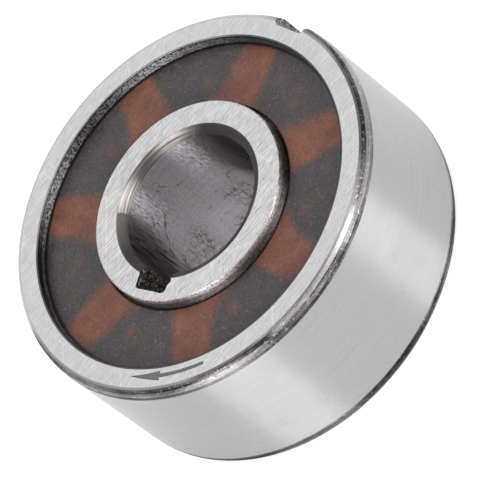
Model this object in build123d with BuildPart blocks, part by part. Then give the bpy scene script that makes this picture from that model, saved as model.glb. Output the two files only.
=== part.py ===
"""One-way sprag clutch bearing, 8 x 22 x 9 mm, with a keyway in each ring.

A deep-groove ball bearing whose cage also carries sprags. The balls run in grooves in both
rings. The sprags stand between the plain lands on each side of those grooves, and let the inner
ring turn one way only.

The axis of the bore is Z, the middle of the width is Z = 0, and the marked face looks along +Z.
The middle of the outer keyway is on +X. All sizes are millimetres, and angles are degrees,
counter-clockwise as seen from the marked face.
"""

import os
from math import cos, radians, sin, sqrt

from build123d import *

# Main sizes
bore_diameter = 8.0
outer_diameter = 22.0
bearing_width = 9.0

# Outer ring
mouth_wall = 1.546  # wall beside the recess that the shield lies in
outer_corner_height = 0.355  # how far the rounded outer corner reaches across the face
outer_corner_length = 0.75  # and along the seat
mouth_edge_break = 0.06

# Inner ring
hub_wall = 1.778  # wall at the ends, beside the shield's lip
bore_corner_height = 0.42
bore_corner_length = 0.45
hub_edge_break = 0.06

# Keyways
outer_keyway_width = 2.0
outer_keyway_depth = 0.6
outer_keyway_angle = 0.0
inner_keyway_width = 2.0
inner_keyway_depth = 1.2
inner_keyway_angle = -169.6
keyway_corner_radius = 0.22

# Balls and their grooves
ball_diameter = 3.175
ball_count = 7
first_ball_angle = 10.54
ball_clearance = 0.01  # radial, at the bottom of each groove
groove_conformity = 0.52  # groove radius as a share of the ball's diameter
groove_depth = 0.3975  # from the land down to the bottom of the groove

# Shields
shield_depth = 0.67  # the shield lies this far below the ring faces
shield_thickness = 0.33
shield_bite = 0.13  # how far the rim reaches into its groove in the outer ring
shield_rim_clearance = 0.02
shield_end_play = 0.02
shield_lip_gap = 0.12  # between the lip and the inner ring
shield_edge_radius = 0.1
shield_running_gap = 0.1  # between the shield and the inner ring's shoulder

# Cage
cage_end_gap = 0.2
cage_race_gap = 0.15
cage_end_wall = 0.45
ball_pocket_clearance = 0.08
pocket_mouth_bite = 0.29  # each side of a pocket's mouth closes over the ball by this much

# Sprags
sprags_per_group = 2  # between two neighbouring balls
sprag_spacing_angle = 12.6
sprag_width = 0.95
sprag_waist = 0.7
sprag_end_play = 0.05
sprag_cam_excess = 0.1  # cam radius over half the gap between the lands
sprag_lead_angle = 1.1  # from the outer contact to the inner one, seen from the axis
sprag_lift = 0.006  # gap at each cam when the sprag is about to grip
sprag_release_angle = 5.0
sprag_window_clearance = 0.03
sprag_corner_radius = 0.12

# Garter springs
spring_coil_diameter = 0.5
spring_cover = 0.1  # from the top of the coil to the cage's outer surface
spring_web = 0.18  # cage wall between a ball pocket and a spring groove
spring_side_play = 0.05
spring_cage_clearance = 0.02
spring_sprag_clearance = 0.09

# Radii that follow from the sizes above
bore_radius = bore_diameter / 2
outer_radius = outer_diameter / 2
pitch_radius = (bore_radius + outer_radius) / 2
ball_radius = ball_diameter / 2
groove_radius = groove_conformity * ball_diameter
outer_groove_bottom = pitch_radius + ball_radius + ball_clearance
inner_groove_bottom = pitch_radius - ball_radius - ball_clearance
outer_land_radius = outer_groove_bottom - groove_depth
inner_land_radius = inner_groove_bottom + groove_depth
groove_half_width = sqrt(groove_radius**2 - (groove_radius - groove_depth) ** 2)
mouth_radius = outer_radius - mouth_wall
hub_radius = bore_radius + hub_wall
shield_groove_radius = mouth_radius + shield_bite + shield_rim_clearance
shield_rim_radius = mouth_radius + shield_bite
shield_lip_radius = hub_radius + shield_lip_gap
cage_outer_radius = outer_land_radius - cage_race_gap
cage_inner_radius = inner_land_radius + cage_race_gap
pocket_radius = ball_radius + ball_pocket_clearance
spring_radius = cage_outer_radius - spring_cover - spring_coil_diameter / 2

# Heights above the middle of the width
half_width = bearing_width / 2
shield_face = half_width - shield_depth
shoulder_face = shield_face - shield_thickness
hub_face = shoulder_face - shield_running_gap
cage_face = shoulder_face - cage_end_gap
window_end = cage_face - cage_end_wall
sprag_end = window_end - sprag_end_play
spring_groove_width = spring_coil_diameter + 2 * spring_side_play
spring_plane = pocket_radius + spring_web + spring_groove_width / 2

# Angles
ball_pitch_angle = 360 / ball_count
ball_angles = [first_ball_angle + ball_pitch_angle * index for index in range(ball_count)]
group_middle = (sprags_per_group - 1) / 2
sprag_angles = [
    ball_angle + ball_pitch_angle / 2 + sprag_spacing_angle * (index - group_middle)
    for ball_angle in ball_angles
    for index in range(sprags_per_group)
]

# Beyond any surface that a cut has to pass through
beyond = outer_radius


def station_plane(radius, angle, height=0.0):
    """A plane square to the bore's axis, with its X pointing away from that axis."""
    outward = (cos(radians(angle)), sin(radians(angle)), 0)
    return Plane(
        origin=(radius * outward[0], radius * outward[1], height),
        x_dir=outward,
        z_dir=(0, 0, 1),
    )


def finish(piece, name):
    """Labels a finished piece and writes it."""
    piece.part.label = name
    export_step(piece.part, f"parts/{name}.step")


os.makedirs("parts", exist_ok=True)


# Outer ring: grooved for the balls, plain beside the groove for the sprags, stepped for the shields
seat_half_length = half_width - outer_corner_length
with BuildPart() as outer_ring:
    with BuildSketch(Plane.XZ):
        with BuildLine():
            Polyline(
                (outer_land_radius, groove_half_width),
                (outer_land_radius, shoulder_face),
                (shield_groove_radius, shoulder_face),
                (shield_groove_radius, shield_face + shield_end_play),
                (mouth_radius, shield_face + shield_end_play),
                (mouth_radius, half_width - mouth_edge_break),
                (mouth_radius + mouth_edge_break, half_width),
                (outer_radius - outer_corner_height, half_width),
            )
            EllipticalCenterArc(
                (outer_radius - outer_corner_height, seat_half_length),
                outer_corner_height,
                outer_corner_length,
                arc_size=90,
            )
            mirror(about=Plane.XZ)
            ThreePointArc(
                (outer_land_radius, -groove_half_width),
                (outer_groove_bottom, 0),
                (outer_land_radius, groove_half_width),
            )
            Line((outer_radius, -seat_half_length), (outer_radius, seat_half_length))
        make_face()
    revolve(axis=Axis.Z)
    keyway_middle = outer_radius - outer_keyway_depth + beyond / 2
    with BuildSketch(station_plane(keyway_middle, outer_keyway_angle, -half_width)) as outer_keyway:
        Rectangle(beyond, outer_keyway_width)
        fillet(outer_keyway.vertices().sort_by(Axis.X)[:2], keyway_corner_radius)
    extrude(amount=bearing_width, mode=Mode.SUBTRACT)
finish(outer_ring, "outer_ring")


# Inner ring: the same groove and lands turned outward, with a hub at each end beside the shield
bore_half_length = half_width - bore_corner_length
with BuildPart() as inner_ring:
    with BuildSketch(Plane.XZ):
        with BuildLine():
            Polyline(
                (inner_land_radius, groove_half_width),
                (inner_land_radius, hub_face),
                (hub_radius, hub_face),
                (hub_radius, half_width - hub_edge_break),
                (hub_radius - hub_edge_break, half_width),
                (bore_radius + bore_corner_height, half_width),
            )
            EllipticalCenterArc(
                (bore_radius + bore_corner_height, bore_half_length),
                bore_corner_height,
                bore_corner_length,
                start_angle=90,
                arc_size=90,
            )
            mirror(about=Plane.XZ)
            ThreePointArc(
                (inner_land_radius, -groove_half_width),
                (inner_groove_bottom, 0),
                (inner_land_radius, groove_half_width),
            )
            Line((bore_radius, -bore_half_length), (bore_radius, bore_half_length))
        make_face()
    revolve(axis=Axis.Z)
    inner_keyway_reach = bore_radius + inner_keyway_depth
    with BuildSketch(
        station_plane(inner_keyway_reach / 2, inner_keyway_angle, -half_width)
    ) as inner_keyway:
        Rectangle(inner_keyway_reach, inner_keyway_width)
        fillet(inner_keyway.vertices().sort_by(Axis.X)[-2:], keyway_corner_radius)
    extrude(amount=bearing_width, mode=Mode.SUBTRACT)
finish(inner_ring, "inner_ring")


# Shields: thin discs snapped into the outer ring, each with its lip just clear of the inner ring
shield_width = shield_rim_radius - shield_lip_radius
shield_middle_radius = (shield_rim_radius + shield_lip_radius) / 2
for name, side in (("front_shield", 1), ("rear_shield", -1)):
    with BuildPart() as shield:
        with BuildSketch(Plane.XZ) as shield_section:
            with Locations((shield_middle_radius, side * (shoulder_face + shield_face) / 2)):
                Rectangle(shield_width, shield_thickness)
            corners = shield_section.vertices().sort_by(Axis((0, 0, 0), (0, side, 0)))
            fillet(corners[-2:], shield_edge_radius)
        revolve(axis=Axis.Z)
    finish(shield, name)


# Cage: a crown moulding, open towards the marked face, with round pockets and sprag windows
cage_thickness = cage_outer_radius - cage_inner_radius
mouth_width = ball_diameter - 2 * pocket_mouth_bite
window_lean = sprag_release_angle / 2
window_width = (
    sprag_width
    + 2 * (cage_thickness / 2) * sin(radians(window_lean))
    + 2 * sprag_window_clearance
)
spring_groove_floor = spring_radius - spring_coil_diameter / 2 - spring_cage_clearance
with BuildPart() as cage:
    with BuildSketch(Plane.XY.offset(-cage_face)):
        Circle(cage_outer_radius)
        Circle(cage_inner_radius, mode=Mode.SUBTRACT)
    extrude(amount=2 * cage_face)
    with PolarLocations(pitch_radius, ball_count, first_ball_angle):
        Sphere(pocket_radius, mode=Mode.SUBTRACT)
    with BuildSketch(Plane.XY):
        with PolarLocations(pitch_radius, ball_count, first_ball_angle):
            Rectangle(2 * cage_thickness, mouth_width)
    extrude(amount=cage_face, mode=Mode.SUBTRACT)
    with BuildSketch(Plane.XY.offset(-window_end)):
        for angle in sprag_angles:
            with PolarLocations(pitch_radius, 1, angle):
                Rectangle(2 * cage_thickness, window_width, rotation=-window_lean)
    extrude(amount=2 * window_end, mode=Mode.SUBTRACT)
    with BuildSketch(Plane.XZ):
        with Locations(
            ((spring_groove_floor + beyond) / 2, spring_plane),
            ((spring_groove_floor + beyond) / 2, -spring_plane),
        ):
            Rectangle(beyond - spring_groove_floor, spring_groove_width)
    revolve(axis=Axis.Z, mode=Mode.SUBTRACT)
finish(cage, "cage")


# Balls
for number, angle in enumerate(ball_angles, start=1):
    with BuildPart(station_plane(pitch_radius, angle)) as ball:
        Sphere(ball_radius)
    finish(ball, f"ball_{number}")


# Sprags: two cams back to back. Each cam's centre stands to one side of the sprag's own radial
# line, so turning the sprag clockwise lowers it and turning it the other way jams it.
land_gap = outer_land_radius - inner_land_radius
land_middle = (outer_land_radius + inner_land_radius) / 2
cam_radius = land_gap / 2 + sprag_cam_excess
outer_cam_reach = outer_land_radius - sprag_lift - cam_radius
inner_cam_reach = inner_land_radius + sprag_lift + cam_radius
half_lead = radians(sprag_lead_angle / 2)
outer_cam_centre = (outer_cam_reach * cos(half_lead) - land_middle, -outer_cam_reach * sin(half_lead))
inner_cam_centre = (inner_cam_reach * cos(half_lead) - land_middle, inner_cam_reach * sin(half_lead))
spring_notch_floor = spring_groove_floor + spring_cage_clearance - spring_sprag_clearance


def cam_point(centre, side, across):
    """The point of a cam's surface at this distance across the sprag."""
    return (centre[0] + side * sqrt(cam_radius**2 - (across - centre[1]) ** 2), across)


for number, angle in enumerate(sprag_angles, start=1):
    with BuildPart() as sprag:
        with BuildSketch(station_plane(land_middle, angle, -sprag_end)) as sprag_section:
            half_sprag = sprag_width / 2
            outer_left = cam_point(outer_cam_centre, 1, half_sprag)
            outer_right = cam_point(outer_cam_centre, 1, -half_sprag)
            inner_left = cam_point(inner_cam_centre, -1, half_sprag)
            inner_right = cam_point(inner_cam_centre, -1, -half_sprag)
            outer_crown = cam_point(outer_cam_centre, 1, outer_cam_centre[1])
            inner_crown = cam_point(inner_cam_centre, -1, inner_cam_centre[1])
            with BuildLine():
                ThreePointArc(outer_left, outer_crown, outer_right)
                ThreePointArc(outer_right, (0, -sprag_waist / 2), inner_right)
                ThreePointArc(inner_right, inner_crown, inner_left)
                ThreePointArc(inner_left, (0, sprag_waist / 2), outer_left)
            make_face()
            fillet(sprag_section.vertices(), sprag_corner_radius)
        extrude(amount=2 * sprag_end)
        for height in (-spring_plane, spring_plane):
            notch_middle = (spring_notch_floor + beyond) / 2
            with BuildSketch(station_plane(notch_middle, angle, height - spring_groove_width / 2)):
                Rectangle(beyond - spring_notch_floor, 2 * sprag_width)
            extrude(amount=spring_groove_width, mode=Mode.SUBTRACT)
    finish(sprag, f"sprag_{number}")


# Garter springs: the rings of close coils that press the sprags towards their grip
for name, side in (("front_garter_spring", 1), ("rear_garter_spring", -1)):
    with BuildPart(Plane.XY.offset(side * spring_plane)) as garter_spring:
        Torus(spring_radius, spring_coil_diameter / 2)
    finish(garter_spring, name)
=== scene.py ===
"""Dresses a one-way sprag clutch bearing: ground steel rings, smoky film shields, a moulded
cage, polished balls, ground sprags and two garter springs, on a pale floor in soft light.
"""

import math

import bmesh
import bpy
from mathutils import Matrix, Vector, noise


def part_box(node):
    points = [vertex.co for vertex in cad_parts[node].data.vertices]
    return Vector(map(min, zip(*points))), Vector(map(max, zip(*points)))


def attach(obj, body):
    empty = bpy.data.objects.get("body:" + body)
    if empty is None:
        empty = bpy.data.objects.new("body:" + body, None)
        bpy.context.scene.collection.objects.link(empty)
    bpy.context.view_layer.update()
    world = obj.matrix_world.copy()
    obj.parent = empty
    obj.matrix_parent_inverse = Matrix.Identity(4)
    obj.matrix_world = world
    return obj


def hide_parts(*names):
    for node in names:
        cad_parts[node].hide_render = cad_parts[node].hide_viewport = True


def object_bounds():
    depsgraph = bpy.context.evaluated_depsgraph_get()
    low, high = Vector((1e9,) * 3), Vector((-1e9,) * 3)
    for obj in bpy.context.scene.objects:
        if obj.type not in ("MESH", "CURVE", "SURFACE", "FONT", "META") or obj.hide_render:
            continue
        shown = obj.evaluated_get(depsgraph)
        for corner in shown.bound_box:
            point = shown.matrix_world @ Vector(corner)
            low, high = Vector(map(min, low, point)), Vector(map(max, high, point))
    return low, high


bl_info = {
    "name": "Sprag clutch finishes",
    "version": (1, 0, 0),
    "blender": (4, 5, 0),
    "location": "3D View > Sidebar > Sprag clutch",
    "description": "Finishes, torn keyways, a cut arrow and a studio for a sprag clutch",
    "category": "Object",
}

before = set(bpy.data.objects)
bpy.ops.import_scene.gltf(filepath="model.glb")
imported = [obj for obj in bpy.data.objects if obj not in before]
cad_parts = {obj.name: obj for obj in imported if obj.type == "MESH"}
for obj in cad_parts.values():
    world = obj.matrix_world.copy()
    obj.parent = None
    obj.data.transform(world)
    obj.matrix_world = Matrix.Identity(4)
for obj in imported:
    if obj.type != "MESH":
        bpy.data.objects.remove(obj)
CAD_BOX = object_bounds()

MM = 0.001
PER_METRE = 1000.0


def half_height():
    """Half the bearing's width, in millimetres."""
    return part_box("outer_ring")[1].z * PER_METRE


def ring_radius(node):
    """The outer radius of a round node, in millimetres."""
    low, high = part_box(node)
    return max(high.x, high.y, -low.x, -low.y) * PER_METRE


# The bearing's sizes, in millimetres, and where its balls stand.
MOUTH_WALL = 1.546
SHIELD_LIP_GAP = 0.12
CORNER_LENGTH = 0.75
FACE_HEIGHT = half_height()
SEAT_RADIUS = ring_radius("outer_ring")
SHIELD_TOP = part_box("front_shield")[1].z * PER_METRE
MOUTH_RADIUS = SEAT_RADIUS - MOUTH_WALL
SHIELD_LIP = 5.898
HUB_RADIUS = SHIELD_LIP - SHIELD_LIP_GAP
BORE_RADIUS = 4.0
CORNER_START = FACE_HEIGHT - CORNER_LENGTH
POCKETS = 7
FIRST_BALL = math.radians(10.54)

# The keyways. Their cutters start clear of the steel and stand past both faces.
KEYWAY_HALF = 1.0
KEYWAY_CORNER = 0.22
OUTER_KEY_FLOOR = 10.4
OUTER_KEY_START = SEAT_RADIUS + 0.6
OUTER_KEY_TEAR = 0.6
INNER_KEY_FLOOR = 5.2
INNER_KEY_START = BORE_RADIUS - 1.0
INNER_KEY_ANGLE = math.radians(-169.6)
KEYWAY_PAST_FACE = 0.2
KEYWAY_STEP = 0.075
KEYWAY_ROWS = 126

# The keyways' torn walls: three sizes of roughness as scale, shift and weight round a base,
# the share of it on the floor, how far from the floor and the faces that fades, how much
# more there is by a face, and the least depth.
TEAR_SIZES = (
    (2.3, Vector((0.0, 0.0, 0.0)), 0.50),
    (6.1, Vector((7.0, 0.0, 0.0)), 0.55),
    (13.0, Vector((0.0, 5.0, 0.0)), 0.45),
)
TEAR_BASE = 0.42
TEAR_ON_FLOOR = 0.12
TEAR_REACH = 0.5
TEAR_BY_FACE = 0.6
LEAST_TEAR = 0.008

# The cut arrow, in millimetres. Its tip, the back of its head and its tail are in degrees,
# the notch behind the head is in radians, and the taper is a share of the shaft's width.
ARROW_ANGLES = (-163.4, -152.3, -136.8)
ARROW_RADIUS = 10.02
ARROW_BARB = 0.27
ARROW_HALF = 0.11
ARROW_TAPER = 0.12
ARROW_BEND = 0.05
ARROW_NOTCH = 0.004
ARROW_DEPTH = 0.03
ARROW_PAST_FACE = 0.1
HEAD_STEPS = 6
SHAFT_STEPS = 16

# Cut rings: how close points are one, in metres, and which edges stay sharp, in radians.
WELD = 1e-7
SHARP_TORN = 0.9
SHARP_STEEL = 0.42

# The studio, in metres and degrees, with the lens and its sensor in millimetres. A lamp has
# its azimuth, elevation, width and height, and the camera its azimuth, elevation and roll.
# The sky is dimmer round one direction, between two cosines of the angle to it.
FLOOR_HALF = 3.0
FLOOR_GAP = 0.00002
CEILING = Vector((-0.0290, -0.1712, 0.9848))
CEILING_EDGE = (0.71, 0.86)
CEILING_SHADE = 0.5
LAMPS = (
    ("left_lamp", -149.0, 18.0, 0.19, 0.20),
    ("right_lamp", -58.0, 18.0, 0.155, 0.20),
)
CAMERA_TURNS = (-9.6, 45.64, -52.86)
CAMERA_DISTANCE = 0.30509
CAMERA_RIGHT = 0.00026
CAMERA_DOWN = 0.000142
LENS = 437.5
SENSOR = 36.0
WHITE = (1.0, 1.0, 1.0)


# Shader maths


class Signal:
    """A socket of a node tree. Sums of signals and numbers add Math nodes."""

    def __init__(self, tree, socket):
        self.tree = tree
        self.socket = socket

    def maths(self, operation, *others):
        values = dict(enumerate((self,) + others))
        return add_node(self.tree, "ShaderNodeMath", {"operation": operation}, values)

    def __add__(self, other):
        return self.maths("ADD", other)

    __radd__ = __add__

    def __mul__(self, other):
        return self.maths("MULTIPLY", other)

    __rmul__ = __mul__

    def __sub__(self, other):
        return self.maths("SUBTRACT", other)

    def __rsub__(self, other):
        return (self * -1.0) + other

    def __truediv__(self, other):
        return self.maths("DIVIDE", other)

    def __pow__(self, other):
        return self.maths("POWER", other)

    def __abs__(self):
        return self.maths("ABSOLUTE")

    def most(self, other):
        return self.maths("MAXIMUM", other)

    def rise(self, low, high):
        """0 below low and 1 above high, eased between; it falls where low is the larger."""
        return add_node(
            self.tree,
            "ShaderNodeMapRange",
            {"interpolation_type": "SMOOTHSTEP"},
            {"Value": self, "From Min": low, "From Max": high},
        )

    def within(self, low, high, edge):
        """1 between low and high, easing to 0 over edge on both sides."""
        return self.rise(low - edge, low + edge) * self.rise(high + edge, high - edge)


def by_name(sockets):
    """Sockets by their identifiers, and by their names where those are free."""
    found = {s.identifier: s for s in sockets}
    for s in sockets:
        found.setdefault(s.name, s)
    return found


def add_node(tree, kind, settings=None, values=None, output=0):
    """Adds a node, makes its settings, fills its sockets, and gives one output as a Signal."""
    made = tree.nodes.new(kind)
    for name, value in (settings or {}).items():
        setattr(made, name, value)
    named = by_name(made.inputs)
    for name, value in (values or {}).items():
        socket = made.inputs[name] if isinstance(name, int) else named[name]
        if isinstance(value, Signal):
            tree.links.new(value.socket, socket)
        else:
            socket.default_value = value
    if not made.outputs:
        return None
    if isinstance(output, str):
        return Signal(tree, by_name(made.outputs)[output])
    return Signal(tree, made.outputs[output])


def vector_of(x, y, z):
    """A vector from three values, at least one of them a signal."""
    tree = next(s.tree for s in (x, y, z) if isinstance(s, Signal))
    return add_node(tree, "ShaderNodeCombineXYZ", None, {"X": x, "Y": y, "Z": z})


def fine_noise(vector, scale, detail, roughness):
    """Smooth random values from about 0.2 to 0.8 around 0.5."""
    return add_node(
        vector.tree,
        "ShaderNodeTexNoise",
        {"noise_dimensions": "3D"},
        {"Vector": vector, "Scale": scale, "Detail": detail, "Roughness": roughness},
    )


def blend_colours(factor, first, second, mode="MIX"):
    """First where factor is 0 and second where it is 1."""
    return add_node(
        factor.tree,
        "ShaderNodeMix",
        {"data_type": "RGBA", "blend_type": mode, "clamp_factor": True},
        {"Factor_Float": factor, "A_Color": first, "B_Color": second},
        "Result_Color",
    )


def shade(colour, amount):
    """A colour with each of its parts multiplied by a signal."""
    return add_node(
        amount.tree,
        "ShaderNodeVectorMath",
        {"operation": "SCALE"},
        {0: colour if isinstance(colour, Signal) else colour[:3], "Scale": amount},
        "Vector",
    )


def opaque(colour):
    """A colour as a socket takes it."""
    return (*colour, 1.0)


class Place:
    """Where a shaded point is on the part at rest, in millimetres and radians."""

    def __init__(self, tree):
        metres = add_node(tree, "ShaderNodeTexCoord", None, None, "Object")
        self.tree = tree
        self.point = add_node(
            tree,
            "ShaderNodeVectorMath",
            {"operation": "SCALE"},
            {0: metres, "Scale": PER_METRE},
            "Vector",
        )
        self.x, self.y, self.z = (
            add_node(tree, "ShaderNodeSeparateXYZ", None, {0: self.point}, axis)
            for axis in "XYZ"
        )
        self.radius = (self.x * self.x + self.y * self.y) ** 0.5
        self.angle = self.y.maths("ARCTAN2", self.x)
        self.height = abs(self.z)

    def turned(self, angle):
        """The x and y of the point along directions turned by angle."""
        c, s = math.cos(angle), math.sin(angle)
        return self.x * c + self.y * s, self.y * c - self.x * s

    def stretched(self, across, along, angle):
        """A place for noise that makes straight lines on a flat face, angle from +X."""
        u, v = self.turned(angle)
        return vector_of(u * along, v * across, self.z * along)

    def hooped(self, across, along):
        """A place for noise that makes lines round the axis."""
        return vector_of(
            self.x * along / self.radius,
            self.y * along / self.radius,
            self.z * across + self.radius * across * 0.73,
        )

    def axial(self, across, along):
        """A place for noise that makes lines along the axis."""
        return vector_of(self.x * across, self.y * across, self.z * along)

    def sweep(self, low, high):
        """0 before one direction round the axis and 1 past the other, both in degrees."""
        return self.angle.rise(math.radians(low), math.radians(high))

    def arc(self, low, high, edge):
        """1 between two directions in degrees, easing to 0 over edge, in radians."""
        return self.angle.within(math.radians(low), math.radians(high), edge)


def new_material(name):
    """An empty material and its tree."""
    material = bpy.data.materials.new(name)
    material.use_nodes = True
    material.node_tree.nodes.clear()
    return material, material.node_tree


def surface(tree, **values):
    """The tree's one Principled shader and its output; an underscore stands for a space."""
    named = {name.replace("_", " "): value for name, value in values.items()}
    shader = add_node(tree, "ShaderNodeBsdfPrincipled", None, named)
    add_node(tree, "ShaderNodeOutputMaterial", None, {"Surface": shader})


def bumped(height):
    """A normal from a height in millimetres."""
    return add_node(
        height.tree,
        "ShaderNodeBump",
        None,
        {"Height": height, "Strength": 1.0, "Distance": MM},
        "Normal",
    )


def hair_cracks(place, scale, width):
    """Sparse thin crooked lines, 1 on a line."""
    bend = fine_noise(place.point, 1.3, 3.0, 0.6)
    shifted = add_node(
        place.tree,
        "ShaderNodeVectorMath",
        {"operation": "ADD"},
        {0: place.point, 1: shade(WHITE, bend * 1.6)},
        "Vector",
    )
    edge = add_node(
        place.tree,
        "ShaderNodeTexVoronoi",
        {"feature": "DISTANCE_TO_EDGE"},
        {"Vector": shifted, "Scale": scale},
        "Distance",
    )
    here = fine_noise(place.point, 0.6, 1.0, 0.5).rise(0.50, 0.58)
    return edge.rise(width, width * 0.3) * here


def scratches(place, angle, across, along, width):
    """Sparse thin straight lines on a flat face, 1 on a line."""
    lines = fine_noise(place.stretched(across, along, angle), 1.0, 1.0, 0.4)
    return abs(lines - 0.5).rise(width, 0.0)


# Finishes


def ring_steel(look):
    """Ground and lapped bearing steel, told apart by where it is on the rings."""
    material, tree = new_material("ring_steel")
    at = Place(tree)

    # Where each surface is: 1 on it and 0 elsewhere. far_way goes from -1 to 1 across.
    face = at.height.rise(FACE_HEIGHT - 0.02, FACE_HEIGHT - 0.004)
    side = 1 - face
    round_side = at.radius.rise(SEAT_RADIUS - 0.42, SEAT_RADIUS - 0.36)
    corner = round_side * at.height.rise(CORNER_START - 0.03, CORNER_START + 0.01)
    seat = round_side * (1 - corner)
    mouth = at.radius.within(MOUTH_RADIUS - 0.2, MOUTH_RADIUS + 0.04, 0.01) * side
    hub = at.radius.within(HUB_RADIUS - 0.05, HUB_RADIUS + 0.2, 0.01) * side
    bore = at.radius.rise(BORE_RADIUS + 0.5, BORE_RADIUS + 0.44) * side
    entry = at.radius.rise(BORE_RADIUS + 0.48, BORE_RADIUS + 0.44)
    entry = entry * at.height.rise(FACE_HEIGHT - 0.46, FACE_HEIGHT - 0.42)
    inner = at.radius.rise(7.0, 6.9)
    far_way = at.turned(math.radians(80.4))[0] / at.radius

    # The bore's entry: brighter on one side, grey beside that, darker lower down.
    bright_entry = at.sweep(22.0, 40.0) * 0.4
    bright_entry = bright_entry + at.sweep(36.0, 52.0) * 0.6
    dimmed = at.arc(66.0, 90.0, 0.16)
    bright_entry = bright_entry * (1 - dimmed * 0.5)
    bright_entry = bright_entry * at.sweep(118.5, 117.5)
    grey_entry = at.sweep(117.5, 118.5)
    grey_entry = grey_entry * at.sweep(158.0, 126.0)
    deep_entry = at.height.rise(FACE_HEIGHT - 0.10, FACE_HEIGHT - 0.42)

    # Lapped faces: fine straight lines, most of them one way, and a few longer scratches.
    lap = 0.0
    for angle, across, along, share in (
        (-13.0, 21.0, 1.3, 1.1),
        (-19.0, 26.0, 1.9, 1.5),
        (-7.0, 17.0, 1.4, 0.9),
        (50.0, 24.0, 1.8, 0.9),
    ):
        place = at.stretched(across, along, math.radians(angle))
        lap = (fine_noise(place, 1.0, 1.0, 0.5) - 0.5) * share + lap
    scratch = scratches(at, math.radians(38.0), 2.6, 0.06, 0.010)
    scratch = scratch.most(scratches(at, math.radians(-13.0), 2.9, 0.10, 0.010))
    scratch = scratch.most(scratches(at, math.radians(80.0), 2.2, 0.07, 0.007))
    cloud = fine_noise(at.point, 0.55, 3.0, 0.55)
    grit = fine_noise(at.point, 8.0, 2.0, 0.6) - 0.5

    # Ground seat: hoops of fine lines.
    hoops = fine_noise(at.hooped(9.0, 2.0), 1.0, 3.0, 0.65) - 0.5

    # Turned corners: coarse hoops with pits and bright nicks.
    turned = fine_noise(at.hooped(8.5, 3.2), 1.0, 4.0, 0.7) - 0.5
    uneven = fine_noise(at.hooped(1.0, 5.0), 1.0, 2.0, 0.5) - 0.5
    grooves = fine_noise(at.hooped(13.0, 1.2), 1.0, 2.0, 0.6) - 0.5
    nicks = fine_noise(at.point, 6.5, 3.0, 0.6)

    # Bore: lines along the axis over hoops, worn in places.
    strokes = fine_noise(at.axial(8.0, 0.7), 1.0, 3.0, 0.65) - 0.5
    scales = fine_noise(at.axial(9.0, 3.0), 1.0, 2.0, 0.6) - 0.5
    rings = fine_noise(at.hooped(17.0, 1.2), 1.0, 2.0, 0.6) - 0.5
    scaly = at.arc(34.0, 58.0, 0.12)
    scaly = scaly + at.arc(90.0, 118.0, 0.14)
    scaly = scaly * at.height.rise(0.2, 1.8)
    worn = at.arc(118.0, 150.0, 0.12)
    # Painted shade: the bore darker outside the arc from about 36° to 112°.
    sides = at.sweep(36.0, 14.0)
    sides = sides.most(at.sweep(112.0, 140.0))
    sides = sides.most(at.sweep(0.0, -20.0))
    cracks = bore * hair_cracks(at, 0.42, 0.022)
    dents = fine_noise(at.point, 4.0, 1.0, 0.5).rise(0.69, 0.74)

    # Mouth and hub walls: rough turned and dark.
    grain = fine_noise(at.point, 8.0, 4.0, 0.75)

    # Relief, in millimetres.
    height = face * (lap * 0.0014 - scratch * 0.0016)
    height = height + seat * (hoops * 0.0022 + grit * 0.0006)
    height = height + corner * (turned * 0.030 - nicks.rise(0.60, 0.72) * 0.030)
    height = height + bore * strokes * 0.0080 * (worn + 0.08)
    height = height + bore * (scales * 0.014 * (scaly + 0.04) + rings * 0.0012)
    height = height - (cracks * 0.010 + dents * bore * 0.012)
    height = height + mouth * grain * 0.02
    height = height + hub * grain * 0.016

    # Tone: 1 is the steel's own colour. First the faces, the seat and the bore.
    tone = 1.0 + (lap * (0.28 + inner * 0.32) + scratch * 0.18) * face
    # Painted light: the faces lighter towards both ends of one direction across them.
    tone = tone + far_way * far_way * face * 0.06
    tone = tone + (cloud - 0.5) * 0.10 + grit * seat * 0.16 + hoops * seat * 0.20
    tone = tone + (strokes * (0.3 + worn * 2.6) + rings * 0.5 + grit * 0.6) * bore
    tone = tone + scales * scaly * bore * 2.4 - sides * bore * 0.62
    tone = tone - cracks * 0.5 - dents * bore * 0.3

    # The turned corner, in two halves: the one by the face and the one by the seat. Over its
    # turned streaks it has painted shade, a dark band by the face and darker arcs round -130°
    # and -40°, and painted highlights on the arc from -114° to -57°.
    dark_left = at.arc(-141.0, -119.0, 0.06)
    by_face = at.height - dark_left * 0.13
    by_face = by_face.rise(FACE_HEIGHT - 0.34, FACE_HEIGHT - 0.16)
    edge_line = at.height.rise(FACE_HEIGHT - 0.012, FACE_HEIGHT - 0.05)
    bright_by_face = at.arc(-114.0, -57.0, 0.06)
    dark_by_seat = at.arc(-120.0, -76.0, 0.10)
    streaks = turned * 1.1 + uneven * 1.2 + nicks.rise(0.42, 0.34) * 0.5
    streaks = streaks + grooves * 1.5
    streaks = streaks - nicks.rise(0.62, 0.72) * 0.5
    dark_right = at.arc(-58.0, -22.0, 0.08)
    edge_tone = 0.75 - dark_right * 0.4 - dark_left * 0.5
    inner_half = 0.22 - dark_left * 0.18 - dark_right * 0.09 + streaks * 0.8
    inner_half = inner_half.most(0.04) * (1 - bright_by_face)
    bright_half = 0.46 + dark_by_seat * 1.24 + streaks * 2.2
    inner_half = inner_half + bright_half.most(0.2) * bright_by_face * 0.75
    inner_half = inner_half * edge_line + (1 - edge_line) * edge_tone
    outer_half = 0.66 - dark_by_seat * 0.20 + streaks * (0.8 + dark_by_seat * 0.8)
    outer_half = outer_half * (1 - dark_left * 0.15)
    step = at.height.within(CORNER_START - 0.01, CORNER_START + 0.25, 0.04)
    step = step * at.sweep(-40.0, -62.0)
    outer_half = outer_half * (1 - step * 0.45)
    turned_tone = (inner_half * by_face + outer_half * (1 - by_face)).most(0.07)
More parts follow.
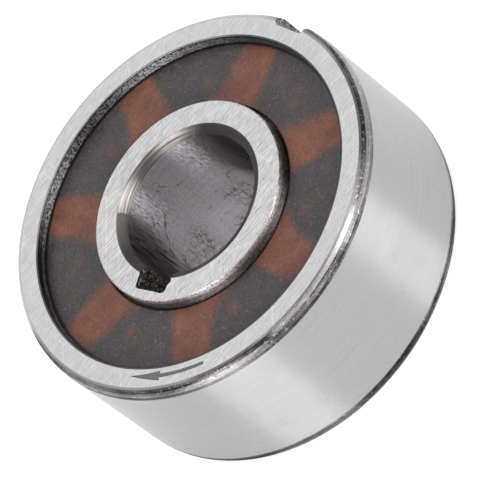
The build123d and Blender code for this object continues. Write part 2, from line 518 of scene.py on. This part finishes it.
    ridge = at.height.within(FACE_HEIGHT - 0.26, FACE_HEIGHT - 0.20, 0.03)
    turned_tone = turned_tone * (1 - ridge * bright_by_face * (0.35 + uneven * 1.5))
    # Painted reflection: the corner's far half evenly bright.
    far_lit = far_way.rise(0.18, 0.42)
    turned_tone = turned_tone * (1 - far_lit) + far_lit * 0.95
    tone = tone * (1 - corner) + turned_tone * corner

    # The mouth's wall, speckled, with painted light over one arc and painted shade under the
    # face, over another arc and by the shield; and the hub's wall.
    lit_arc = at.arc(20.0, 124.0, 0.12)
    shaded_arc = at.arc(118.0, 150.0, 0.25)
    speckle = (0.34 + (grain - 0.5) * 3.6).most(0.03) * (0.50 + lit_arc * 0.50)
    under_face = at.height.rise(FACE_HEIGHT - 0.10, FACE_HEIGHT - 0.06)
    under_face = under_face * (1 - lit_arc * 0.6)
    under_face = under_face.most(
        at.height.rise(FACE_HEIGHT - 0.40, FACE_HEIGHT - 0.26) * shaded_arc
    )
    speckle = speckle * (1 - under_face * 0.85)
    speckle = speckle * (1 - at.height.rise(SHIELD_TOP + 0.10, SHIELD_TOP + 0.04) * 0.9)
    tone = tone * (1 - mouth) + speckle * mouth
    # Painted shade: the hub's wall darker low down, by the shield, and over the arc from -58°
    # to -22°.
    hub_low = at.height.rise(FACE_HEIGHT - 0.20, FACE_HEIGHT - 0.36)
    hub_dim = at.arc(-58.0, -22.0, 0.10)
    flecked = 0.74 + (grain - 0.5) * 3.6 + hoops * 0.8 - hub_dim * 0.5
    flecked = flecked.most(0.06) * (1 - hub_low * 0.60)
    tone = tone * (1 - hub) + flecked.most(0.03) * hub
    # Painted shade along the mouth's edge on the face, lighter over the lit arc.
    lip = at.radius.within(MOUTH_RADIUS - 0.02, MOUTH_RADIUS + 0.14, 0.02)
    edge_shade = lip * at.height.rise(FACE_HEIGHT - 0.10, FACE_HEIGHT - 0.07)
    tone = tone * (1 - edge_shade * (0.85 - lit_arc * 0.3))

    # Painted shade on the lower corner, the whole seat and bore a little darker, and the
    # entry.
    back = at.z.rise(0.70 - FACE_HEIGHT, 0.55 - FACE_HEIGHT) * corner
    tone = tone * (1 - back * 0.72) * (1 - seat * 0.30) * (1 - bore * 0.46)
    lead = bright_entry * (0.66 + rings * 4.6 + cloud * 0.2) + grey_entry * 0.30
    lead = 0.17 + lead * (1 - deep_entry * 0.55)
    tone = tone * (1 - entry) + lead * entry
    tone = tone.most(0.02)

    colour = shade(opaque(look.steel), tone)
    stained = (bore * (1 - entry)).most(corner * (1 - far_lit) * 0.55)
    colour = blend_colours(stained, colour, opaque(look.bore_tint), "MULTIPLY")
    warm = hub.most(entry * 0.6)
    colour = blend_colours(warm, colour, opaque(look.hub_tint), "MULTIPLY")

    rough = 0.17 + seat * 0.11 + corner * 0.34 + mouth * 0.24 + bore * 0.15 + hub * 0.22
    rough = rough + entry * 0.32 - corner * far_lit * 0.34
    rough = rough + corner * bright_by_face * 0.12
    rough = rough + (cloud - 0.5) * 0.06 + scaly * bore * 0.06
    surface(
        tree,
        Base_Color=colour,
        Metallic=1.0,
        Roughness=rough,
        Specular_Tint=(0.86, 0.86, 0.86, 1.0),
        Normal=bumped(height),
        Anisotropic=1.0,
        Anisotropic_Rotation=0.25,
    )
    return material


def torn_steel(look):
    """The broached walls of the keyways: torn, dull and dark with oxide."""
    material, tree = new_material("torn_steel")
    at = Place(tree)
    inner = at.radius.rise(6.0, 5.8)
    grain = fine_noise(at.point, 8.0, 4.0, 0.7)
    ripple = fine_noise(at.axial(2.6, 1.1), 1.0, 4.0, 0.7)
    flakes = fine_noise(at.point, 6.0, 3.0, 0.65)
    rust = fine_noise(at.point, 3.5, 3.0, 0.6).rise(0.48, 0.60)
    bright = flakes.rise(0.46, 0.66)
    outer_tone = 0.07 + flakes.rise(0.36, 0.78) * 0.32 + ripple.rise(0.45, 0.7) * 0.12
    inner_tone = 0.006 + bright * bright * 0.34
    tone = outer_tone * (1 - inner) + inner_tone * inner
    colour = shade(look.torn, tone)
    colour = blend_colours(rust * inner * 0.6, colour, opaque(look.rust))
    surface(
        tree,
        Base_Color=colour,
        Metallic=0.75 - rust * inner * 0.6,
        Roughness=0.42,
        Normal=bumped(grain * 0.07 + ripple * 0.05),
    )
    return material


def arrow_floor(look):
    """The dull floor of the cut arrow."""
    material, tree = new_material("arrow_floor")
    at = Place(tree)
    grain = fine_noise(at.point, 14.0, 3.0, 0.7)
    surface(
        tree,
        Base_Color=shade(opaque(look.mark), 0.75 + grain * 0.5),
        Metallic=0.3,
        Roughness=0.6,
        Normal=bumped(grain * 0.01),
    )
    return material


def shield_film(look):
    """Thin smoky film over the cage: brown over each ball pocket and dark between them."""
    material, tree = new_material("shield_film")
    at = Place(tree)

    # A lighter window over each ball, wider on one side towards the hub.
    sector = 2.0 * math.pi / POCKETS
    turn = (at.angle - FIRST_BALL) / sector + 0.5
    offset = (turn - turn.maths("FLOOR") - 0.5) * sector
    broad = fine_noise(at.point, 0.9, 3.0, 0.6) - 0.5
    close = fine_noise(at.point, 5.0, 3.0, 0.7) - 0.5
    sideways = offset.maths("SINE") * at.radius + broad * 0.45 + close * 0.20
    soft = 0.44 + at.radius.rise(7.6, 6.2) * 0.18
    left = 1.19
    right = 0.84 + at.radius.rise(9.4, 7.6) * 0.27
    right = right + at.radius.rise(7.3, 5.9) * 0.55
    window = (right - sideways + soft * 0.3).rise(soft * -1.0, soft)
    window = window * (sideways + left).rise(soft * -0.8, soft * 0.8)

    # Three faint spots between neighbouring windows: painted highlights of steel parts under
    # the film.
    lobe = turn - 0.5
    lobe_offset = (lobe - lobe.maths("FLOOR") - 0.5) * sector
    show = 0.0
    for radius, angle, size, strength in (
        (7.35, -5.1, 0.60, 0.42),
        (8.0, -0.9, 0.45, 0.20),
        (8.0, 9.9, 0.45, 0.22),
    ):
        along = (lobe_offset - math.radians(angle)) * at.radius
        out = at.radius - radius
        spot = (along * along + out * out) ** 0.5 + close * 0.5
        show = spot.rise(size, 0.0) * strength + show
    window = window.most(show)

    # Haze, dust and fibres, and painted shade along both rims.
    warm = fine_noise(at.point, 0.7, 2.0, 0.5).rise(0.45, 0.65)
    specks = fine_noise(at.point, 9.0, 2.0, 0.5).rise(0.65, 0.71)
    fibres = scratches(at, math.radians(20.0), 5.0, 1.6, 0.012)
    fibres = fibres.most(scratches(at, math.radians(130.0), 5.0, 1.6, 0.012))
    fibres = fibres * at.radius.rise(SHIELD_LIP + 0.30, SHIELD_LIP + 0.16)
    fibres = fibres * fine_noise(at.point, 2.6, 1.0, 0.5).rise(0.52, 0.60)
    haze = fine_noise(at.point, 1.1, 4.0, 0.6) - 0.5
    grain = fine_noise(at.point, 7.0, 3.0, 0.7) - 0.5
    tint = blend_colours(warm, opaque(look.window), opaque(look.window_glow))
    colour = blend_colours(window * (1.0 + close * 0.7), opaque(look.film), tint)
    mottle = haze * 0.9 + close * 1.0 + grain * (1.9 - window * 1.1)
    colour = shade(colour, (1.0 + mottle).most(0.25))
    colour = blend_colours(specks * 0.55, colour, opaque(look.dust))
    # Painted shade along the film's outer and inner rims.
    edge = at.radius.rise(MOUTH_RADIUS - 0.19 + close * 0.3, MOUTH_RADIUS - 0.10)
    lip = at.radius.rise(SHIELD_LIP + 0.16, SHIELD_LIP + 0.03)
    seam = edge.most(lip)
    colour = blend_colours(seam * 0.88, colour, opaque(look.seam))
    colour = blend_colours(fibres * 0.7, colour, opaque(look.dust))
    surface(
        tree,
        Base_Color=colour,
        Metallic=0.0,
        Roughness=0.38 + haze * 0.12 + specks * 0.2,
        IOR=1.5,
        Normal=bumped(haze * 0.012 + grain * 0.012),
    )
    return material


def cage_polymer(look):
    """Dark moulded polymer with a faint grain."""
    material, tree = new_material("cage_polymer")
    at = Place(tree)
    mottle = fine_noise(at.point, 2.2, 4.0, 0.6)
    grain = fine_noise(at.point, 14.0, 3.0, 0.6)
    tone = 0.75 + mottle * 0.3 + grain * 0.2
    surface(
        tree,
        Base_Color=shade(opaque(look.cage), tone),
        Metallic=0.0,
        Roughness=0.5 + (grain - 0.5) * 0.2,
        Normal=bumped(mottle * 0.01 + grain * 0.004),
    )
    return material


def bright_steel(name, colour, rough, across, depth):
    """Polished or ground steel of the small inner parts."""
    material, tree = new_material(name)
    at = Place(tree)
    lines = fine_noise(at.axial(across, across * 0.06), 1.0, 3.0, 0.6)
    smear = fine_noise(at.point, 1.4, 3.0, 0.6)
    surface(
        tree,
        Base_Color=shade(opaque(colour), 0.92 + lines * 0.1 + smear * 0.06),
        Metallic=1.0,
        Roughness=rough + (smear - 0.5) * 0.08,
        Normal=bumped(lines * depth),
    )
    return material


def set_finish(names, material):
    """Gives CAD nodes a finish and the slot that it belongs to."""
    for name in names:
        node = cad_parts[name]
        node.data.materials.clear()
        node.data.materials.append(material)


# Pieces


def closed_mesh(name, shape, material):
    """A mesh from a bmesh, in one material."""
    bmesh.ops.recalc_face_normals(shape, faces=shape.faces)
    mesh = bpy.data.meshes.new(name)
    mesh.materials.append(material)
    shape.to_mesh(mesh)
    shape.free()
    return bpy.data.objects.new(name, mesh)


def keyway_outline(start, floor):
    """Points round a keyway's section: along one wall, the floor and the other wall."""
    points = []
    way = 1.0 if floor > start else -1.0
    edge = floor - way * KEYWAY_CORNER
    side = KEYWAY_HALF - KEYWAY_CORNER
    bend_steps = 5

    def run(first, last):
        count = max(2, round(math.dist(first, last) / KEYWAY_STEP))
        for i in range(count):
            t = i / count
            points.append(
                (first[0] + (last[0] - first[0]) * t, first[1] + (last[1] - first[1]) * t)
            )

    def bend(v, begin, end):
        for i in range(bend_steps):
            a = begin + (end - begin) * i / bend_steps
            reach = way * KEYWAY_CORNER * math.cos(a)
            points.append((edge + reach, v + KEYWAY_CORNER * math.sin(a)))

    run((start, -KEYWAY_HALF), (edge, -KEYWAY_HALF))
    bend(-side, -math.pi / 2, 0.0)
    run((floor, -side), (floor, side))
    bend(side, 0.0, math.pi / 2)
    run((edge, KEYWAY_HALF), (start, KEYWAY_HALF))
    points.append((start, KEYWAY_HALF))
    return points


def tear_share(spot):
    """How much of the tear shows at a spot of a keyway's wall; below 0 it is whole."""
    share = TEAR_BASE
    for scale, shift, weight in TEAR_SIZES:
        share += weight * noise.noise(spot * scale + shift)
    return share


def keyway_cutter(angle, start, floor, tear, seed, material):
    """A keyway's cutter with torn walls, which are never inside the plain keyway."""
    outline = keyway_outline(start, floor)
    count = len(outline)
    reach = FACE_HEIGHT + KEYWAY_PAST_FACE
    c, s = math.cos(angle), math.sin(angle)
    shape = bmesh.new()
    rings = []
    for i in range(KEYWAY_ROWS + 1):
        z = -reach + 2 * reach * i / KEYWAY_ROWS
        near_face = max(0.0, 1.0 - (FACE_HEIGHT - abs(z)) / TEAR_REACH)
        ring = []
        for n, (u, v) in enumerate(outline):
            before, after = outline[max(0, n - 1)], outline[min(count - 1, n + 1)]
            tangent = Vector((after[0] - before[0], after[1] - before[1]))
            out = Vector((tangent.y, -tangent.x)).normalized()
            if floor < start:
                out = -out
            wall = min(1.0, abs(floor - u) / TEAR_REACH)
            wall = TEAR_ON_FLOOR + (1.0 - TEAR_ON_FLOOR) * wall
            share = tear * wall * max(0.0, tear_share(Vector((u, v + seed, z))))
            depth = LEAST_TEAR + share * (1.0 + TEAR_BY_FACE * near_face)
            u, v = u + out.x * depth, v + out.y * depth
            ring.append(shape.verts.new(Vector((u * c - v * s, u * s + v * c, z)) * MM))
        rings.append(ring)
    for lower, upper in zip(rings, rings[1:]):
        for n in range(count):
            m = (n + 1) % count
            shape.faces.new((lower[n], lower[m], upper[m], upper[n]))
    shape.faces.new(rings[0])
    shape.faces.new(rings[-1])
    return closed_mesh("keyway_cutter", shape, material)


def arrow_outline():
    """Points round the arrow, as angle and radius, from its tip and back to it."""
    tip, back, tail = (math.radians(a) for a in ARROW_ANGLES)

    def head(i, side):
        t = i / HEAD_STEPS
        middle = ARROW_RADIUS - ARROW_BEND + ARROW_BEND * t
        return tip + (back - tip) * t, middle + side * ARROW_BARB * t

    def shaft(i, side):
        t = i / SHAFT_STEPS
        half = ARROW_HALF * (1.0 - ARROW_TAPER * t)
        return back + (tail - back) * t, ARROW_RADIUS + side * half

    outline = [(tip, ARROW_RADIUS - ARROW_BEND)]
    outline += [head(i, 1.0) for i in range(1, HEAD_STEPS + 1)]
    outline.append((back - ARROW_NOTCH, ARROW_RADIUS + ARROW_HALF))
    outline += [shaft(i, 1.0) for i in range(SHAFT_STEPS + 1)]
    outline += [shaft(i, -1.0) for i in range(SHAFT_STEPS, -1, -1)]
    outline += [head(i, -1.0) for i in range(HEAD_STEPS, 0, -1)]
    return outline


def arrow_cutter(material):
    """A thin curved arrow that stands through the marked face."""
    outline = arrow_outline()
    count = len(outline)
    shape = bmesh.new()
    rings = [
        [
            shape.verts.new(Vector((r * math.cos(a), r * math.sin(a), z)) * MM)
            for a, r in outline
        ]
        for z in (FACE_HEIGHT - ARROW_DEPTH, FACE_HEIGHT + ARROW_PAST_FACE)
    ]
    for n in range(count):
        m = (n + 1) % count
        shape.faces.new((rings[0][n], rings[0][m], rings[1][m], rings[1][n]))
    for ring in rings:
        cap = shape.faces.new(ring)
        bmesh.ops.triangulate(shape, faces=[cap])
    return closed_mesh("arrow_cutter", shape, material)


def cut_ring(node, name, steel, cutters):
    """A copy of a ring with the cutters' shapes taken out, smooth but for its edges."""
    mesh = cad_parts[node].data.copy()
    mesh.name = name
    mesh.materials.clear()
    mesh.materials.append(steel)
    shape = bmesh.new()
    shape.from_mesh(mesh)
    bmesh.ops.remove_doubles(shape, verts=shape.verts, dist=WELD)
    shape.to_mesh(mesh)
    shape.free()
    ring = bpy.data.objects.new(name, mesh)
    bpy.context.scene.collection.objects.link(ring)
    for cutter in cutters:
        bpy.context.scene.collection.objects.link(cutter)
        cut = ring.modifiers.new("cut", "BOOLEAN")
        cut.operation = "DIFFERENCE"
        cut.solver = "EXACT"
        cut.material_mode = "TRANSFER"
        cut.object = cutter
    graph = bpy.context.evaluated_depsgraph_get()
    done = bpy.data.meshes.new_from_object(ring.evaluated_get(graph), depsgraph=graph)
    ring.modifiers.clear()
    ring.data = done
    done.name = name
    for cutter in cutters:
        bpy.data.objects.remove(cutter)
    if len(done.polygons) < len(mesh.polygons):
        raise RuntimeError(f"The cuts in {node} left too little of it.")
    shape = bmesh.new()
    shape.from_mesh(done)
    for edge in shape.edges:
        if len(edge.link_faces) == 2:
            first, second = edge.link_faces
            across = first.material_index != second.material_index
            limit = SHARP_TORN if first.material_index else SHARP_STEEL
            edge.smooth = not across and edge.calc_face_angle(0.0) < limit
    for face in shape.faces:
        face.smooth = True
    shape.to_mesh(done)
    shape.free()
    even = ring.modifiers.new("even", "WEIGHTED_NORMAL")
    even.keep_sharp = True
    even.weight = 100
    return ring


# Settings


def paint(name, description, default):
    """A property that holds a colour."""
    return bpy.props.FloatVectorProperty(
        name=name,
        description=description,
        subtype="COLOR",
        size=3,
        min=0.0,
        max=1.0,
        default=default,
    )


class ClutchLook(bpy.types.PropertyGroup):
    """The keyways' tear and the colours of the bearing's finishes."""

    keyway_tear: bpy.props.FloatProperty(
        name="Keyway tear",
        description="How far the keyways' walls are torn",
        default=0.0001,
        min=0.0,
        max=0.0002,
        precision=5,
        unit="LENGTH",
    )
    steel: paint("Ring steel", "Colour of the rings", (0.615, 0.613, 0.617))
    bore_tint: paint("Stain", "Stain in the bore and corners", (1.0, 0.94, 0.985))
    hub_tint: paint("Hub tint", "Stain on the hub's wall", (1.0, 0.90, 0.87))
    torn: paint("Torn steel", "Torn walls of the keyways", (1.0, 0.985, 0.98))
    rust: paint("Rust", "Oxide in the bore's keyway", (0.075, 0.032, 0.020))
    mark: paint("Arrow", "Colour in the cut arrow", (0.175, 0.168, 0.168))
    film: paint("Shield film", "Film over the cage", (0.059, 0.049, 0.051))
    window: paint("Pocket tint", "Film over a ball pocket", (0.185, 0.066, 0.042))
    window_glow: paint("Pocket glow", "Its brightest patches", (0.235, 0.080, 0.046))
    seam: paint("Seam", "Shade along the film's rims", (0.006, 0.005, 0.005))
    dust: paint("Dust", "Specks on the film", (0.30, 0.27, 0.25))
    cage: paint("Cage", "Moulded cage", (0.045, 0.038, 0.036))
    ball: paint("Balls", "Polished balls", (0.75, 0.75, 0.76))
    sprag: paint("Sprags", "Ground sprags", (0.5, 0.5, 0.5))
    spring: paint("Springs", "Garter springs", (0.45, 0.45, 0.46))


class ClutchStudio(bpy.types.PropertyGroup):
    """The studio round the bearing."""

    daylight: bpy.props.FloatProperty(
        name="Daylight",
        description="Even light from all round",
        default=0.7,
        min=0.0,
        max=2.0,
    )
    lamp_radiance: bpy.props.FloatProperty(
        name="Lamps",
        description="Brightness of each soft box",
        default=6.7,
        min=0.0,
        max=40.0,
    )
    lamp_distance: bpy.props.FloatProperty(
        name="Lamp distance",
        description="From the bearing to each soft box",
        default=0.32,
        min=0.1,
        max=3.0,
        unit="LENGTH",
    )
    floor_glow: bpy.props.FloatProperty(
        name="Floor glow",
        description="Light that the floor shows but does not give",
        default=0.70,
        min=0.0,
        max=2.0,
    )
    far_glow: bpy.props.FloatProperty(
        name="Far floor glow",
        description="More of that light behind the bearing",
        default=0.4,
        min=0.0,
        max=2.0,
    )
    bore_glow: bpy.props.FloatProperty(
        name="Glow under the bore",
        description="The same, in the shade under the bore",
        default=1.15,
        min=0.0,
        max=2.0,
    )
    floor_colour: paint("Floor", "Colour of the floor", (0.55, 0.55, 0.55))


# Operators


class SPRAG_OT_rings(bpy.types.Operator):
    """Makes both rings with torn keyways and the cut arrow, and finishes them"""

    bl_idname = "sprag_clutch.rings"
    bl_label = "Make rings"

    def execute(self, context):
        look = context.scene.clutch_look
        steel, torn, mark = ring_steel(look), torn_steel(look), arrow_floor(look)
        tear = look.keyway_tear * PER_METRE
        inner_key = keyway_cutter(
            INNER_KEY_ANGLE, INNER_KEY_START, INNER_KEY_FLOOR, tear, 3.0, torn
        )
        outer_key = keyway_cutter(
            0.0, OUTER_KEY_START, OUTER_KEY_FLOOR, tear * OUTER_KEY_TEAR, 9.0, torn
        )
        arrow = arrow_cutter(mark)
        inner = cut_ring("inner_ring", "inner_ring_steel", steel, (inner_key,))
        outer = cut_ring("outer_ring", "outer_ring_steel", steel, (outer_key, arrow))
        for ring, body, node in (
            (inner, "inner", "inner_ring"),
            (outer, "outer", "outer_ring"),
        ):
            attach(ring, body)
            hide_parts(node)
        return {"FINISHED"}


class SPRAG_OT_shields(bpy.types.Operator):
    """Finishes the two film shields"""

    bl_idname = "sprag_clutch.shields"
    bl_label = "Finish shields"

    def execute(self, context):
        material = shield_film(context.scene.clutch_look)
        set_finish(("front_shield", "rear_shield"), material)
        return {"FINISHED"}


class SPRAG_OT_cage(bpy.types.Operator):
    """Finishes the moulded cage"""

    bl_idname = "sprag_clutch.cage"
    bl_label = "Finish cage"

    def execute(self, context):
        material = cage_polymer(context.scene.clutch_look)
        set_finish(("cage",), material)
        return {"FINISHED"}


class SPRAG_OT_rollers(bpy.types.Operator):
    """Finishes the balls, the sprags and the garter springs"""

    bl_idname = "sprag_clutch.rollers"
    bl_label = "Finish balls, sprags and springs"

    def execute(self, context):
        look = context.scene.clutch_look
        for word, slot, colour, rough, across, depth in (
            ("ball_", "ball_steel", look.ball, 0.10, 6.0, 0.0002),
            ("sprag_", "sprag_steel", look.sprag, 0.30, 14.0, 0.002),
            ("garter_spring", "spring_steel", look.spring, 0.32, 12.0, 0.004),
        ):
            names = [name for name in sorted(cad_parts) if word in name]
            if not names:
                raise RuntimeError(f"The frame has no node with {word} in its name.")
            set_finish(names, bright_steel(slot, colour, rough, across, depth))
        return {"FINISHED"}


class SPRAG_OT_studio(bpy.types.Operator):
    """Makes the floor, the daylight, the lamps and the camera"""

    bl_idname = "sprag_clutch.studio"
    bl_label = "Make studio"

    def execute(self, context):
        studio = context.scene.clutch_studio
        make_floor(studio)
        make_daylight(context.scene, studio)
        middle = (CAD_BOX[0] + CAD_BOX[1]) / 2.0
        for name, azimuth, elevation, width, height in LAMPS:
            make_lamp(studio, name, middle, azimuth, elevation, width, height)
        make_camera(context.scene, middle)
        context.scene.view_settings.view_transform = "Standard"
        return {"FINISHED"}


def seen_directly(tree):
    """1 for rays that show the backdrop: to the camera, off gloss or through glass."""
    camera = add_node(tree, "ShaderNodeLightPath", None, None, "Is Camera Ray")
    glossy = add_node(tree, "ShaderNodeLightPath", None, None, "Is Glossy Ray")
    clear = add_node(tree, "ShaderNodeLightPath", None, None, "Is Transmission Ray")
    return camera.most(glossy).most(clear)


def make_floor(studio):
    """A wide plane just under the bearing, which shows paler than it lights the bearing."""
    mesh = bpy.data.meshes.new("floor")
    shape = bmesh.new()
    bmesh.ops.create_grid(shape, x_segments=8, y_segments=8, size=FLOOR_HALF)
    shape.to_mesh(mesh)
    shape.free()
    floor = bpy.data.objects.new("floor", mesh)
    floor.location.z = CAD_BOX[0].z - FLOOR_GAP
    bpy.context.scene.collection.objects.link(floor)
    material, tree = new_material("pale_floor")
    matt = add_node(
        tree, "ShaderNodeBsdfDiffuse", None, {"Color": opaque(studio.floor_colour)}
    )
    at = Place(tree)
    clear = at.radius.rise(SEAT_RADIUS - 0.8, SEAT_RADIUS - 0.1)
    under_bore = at.radius.rise(BORE_RADIUS, BORE_RADIUS - 0.6)
    far = (at.turned(math.radians(76.0))[0] / at.radius).rise(-0.5, 0.4)
    glow = clear * (studio.floor_glow + far * studio.far_glow)
    glow = glow + under_bore * studio.bore_glow
    glow = add_node(
        tree,
        "ShaderNodeEmission",
        None,
        {"Color": opaque(WHITE), "Strength": seen_directly(tree) * glow},
    )
    both = add_node(tree, "ShaderNodeAddShader", None, {0: matt, 1: glow})
    add_node(tree, "ShaderNodeOutputMaterial", None, {"Surface": both})
    mesh.materials.append(material)


def make_daylight(scene, studio):
    """An even pale sky, which shows as white, with a dimmer ceiling."""
    world = bpy.data.worlds.new("studio")
    world.use_nodes = True
    tree = world.node_tree
    tree.nodes.clear()
    way = add_node(tree, "ShaderNodeTexCoord", None, None, "Generated")
    towards = add_node(
        tree,
        "ShaderNodeVectorMath",
        {"operation": "DOT_PRODUCT"},
        {0: way, 1: CEILING},
        "Value",
    )
    ceiling = towards.rise(*CEILING_EDGE)
    level = seen_directly(tree) * (1.0 - studio.daylight) + studio.daylight
    level = level * (1.0 - ceiling * CEILING_SHADE)
    sky = add_node(
        tree,
        "ShaderNodeBackground",
        None,
        {"Color": opaque(WHITE), "Strength": level},
    )
    add_node(tree, "ShaderNodeOutputWorld", None, {"Surface": sky})
    scene.world = world


def make_lamp(studio, name, middle, azimuth, elevation, width, height):
    """A soft box that faces the bearing."""
    a, e = math.radians(azimuth), math.radians(elevation)
    out = Vector((math.cos(a) * math.cos(e), math.sin(a) * math.cos(e), math.sin(e)))
    data = bpy.data.lights.new(name, "AREA")
    data.shape = "RECTANGLE"
    data.size = width
    data.size_y = height
    data.energy = studio.lamp_radiance * math.pi * width * height
    lamp = bpy.data.objects.new(name, data)
    lamp.location = middle + out * studio.lamp_distance
    lamp.rotation_mode = "QUATERNION"
    lamp.rotation_quaternion = (-out).to_track_quat("-Z", "Y")
    lamp.visible_camera = False
    bpy.context.scene.collection.objects.link(lamp)


def make_camera(scene, middle):
    """A long lens from above the front, with the bearing's mark towards the upper left."""
    azimuth, elevation, roll = (math.radians(a) for a in CAMERA_TURNS)
    back = Vector(
        (
            math.sin(azimuth) * math.cos(elevation),
            -math.cos(azimuth) * math.cos(elevation),
            math.sin(elevation),
        )
    )
    level = Vector((0.0, 0.0, 1.0)).cross(back).normalized()
    upright = back.cross(level)
    right = level * math.cos(roll) + upright * math.sin(roll)
    up = upright * math.cos(roll) - level * math.sin(roll)
    data = bpy.data.cameras.new("camera")
    data.sensor_width = SENSOR
    data.lens = LENS
    data.clip_start = 0.01
    data.clip_end = 20.0
    camera = bpy.data.objects.new("camera", data)
    turn = Matrix((right, up, back)).transposed()
    place = middle + back * CAMERA_DISTANCE + right * CAMERA_RIGHT - up * CAMERA_DOWN
    camera.matrix_world = Matrix.Translation(place) @ turn.to_4x4()
    scene.collection.objects.link(camera)
    scene.camera = camera


class SPRAG_PT_panel(bpy.types.Panel):
    """The clutch's finishes and studio"""

    bl_idname = "SPRAG_PT_panel"
    bl_label = "Sprag clutch"
    bl_space_type = "VIEW_3D"
    bl_region_type = "UI"
    bl_category = "Sprag clutch"

    def draw(self, context):
        look, studio = context.scene.clutch_look, context.scene.clutch_studio
        for name in look.__annotations__:
            self.layout.prop(look, name)
        for name in studio.__annotations__:
            self.layout.prop(studio, name)
        for step in STEPS:
            self.layout.operator(step.bl_idname)


STEPS = (
    SPRAG_OT_rings,
    SPRAG_OT_shields,
    SPRAG_OT_cage,
    SPRAG_OT_rollers,
    SPRAG_OT_studio,
)
CLASSES = (ClutchLook, ClutchStudio, SPRAG_PT_panel) + STEPS


def register():
    """Registers the classes and hangs the settings on the scene."""
    for kind in CLASSES:
        bpy.utils.register_class(kind)
    bpy.types.Scene.clutch_look = bpy.props.PointerProperty(type=ClutchLook)
    bpy.types.Scene.clutch_studio = bpy.props.PointerProperty(type=ClutchStudio)


def unregister():
    """Takes back what register did."""
    del bpy.types.Scene.clutch_studio
    del bpy.types.Scene.clutch_look
    for kind in reversed(CLASSES):
        bpy.utils.unregister_class(kind)


def main():
    """Makes every piece and the studio."""
    register()
    bpy.ops.sprag_clutch.rings()
    bpy.ops.sprag_clutch.shields()
    bpy.ops.sprag_clutch.cage()
    bpy.ops.sprag_clutch.rollers()
    bpy.ops.sprag_clutch.studio()


if __name__ == "__main__":
    main()
